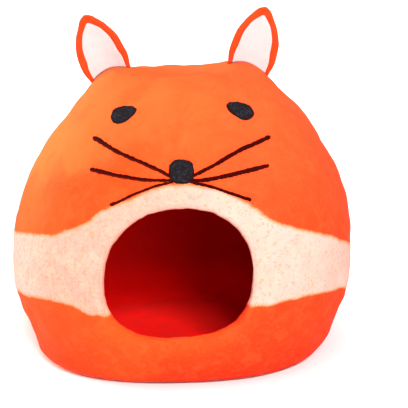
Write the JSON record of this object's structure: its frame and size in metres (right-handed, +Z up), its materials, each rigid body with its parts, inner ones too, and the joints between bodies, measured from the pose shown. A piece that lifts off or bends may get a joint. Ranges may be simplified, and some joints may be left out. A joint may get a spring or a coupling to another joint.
{
  "type": "felt cat cave with ears",
  "caption": "Seamless wool felt cave for a cat, a rounded shell with a round way in at the front, upright felt ears and a needle-felted fox face.",
  "frame": {"origin": "on the ground, under the middle of the shell's outer box", "axes": "+Z up, the way in and the face look along -Y, +X is the right-hand side of the face as seen from the front"},
  "size_m": [0.4493, 0.3957, 0.4519],
  "materials": {
    "orange_felt": "matt wet-felted wool",
    "white_felt": "matt wet-felted wool",
    "black_wool": "matt needle-felted wool"
  },
  "bodies": {
    "root": {"shell": "orange_felt", "ear_left": "orange_felt", "ear_right": "orange_felt", "ear_lining_left": "white_felt", "ear_lining_right": "white_felt", "eye_left": "black_wool", "eye_right": "black_wool", "nose": "black_wool", "whisker_left_upper": "black_wool", "whisker_left_middle": "black_wool", "whisker_left_lower": "black_wool", "whisker_right_upper": "black_wool", "whisker_right_middle": "black_wool", "whisker_right_lower": "black_wool"}
  },
  "joints": []
}
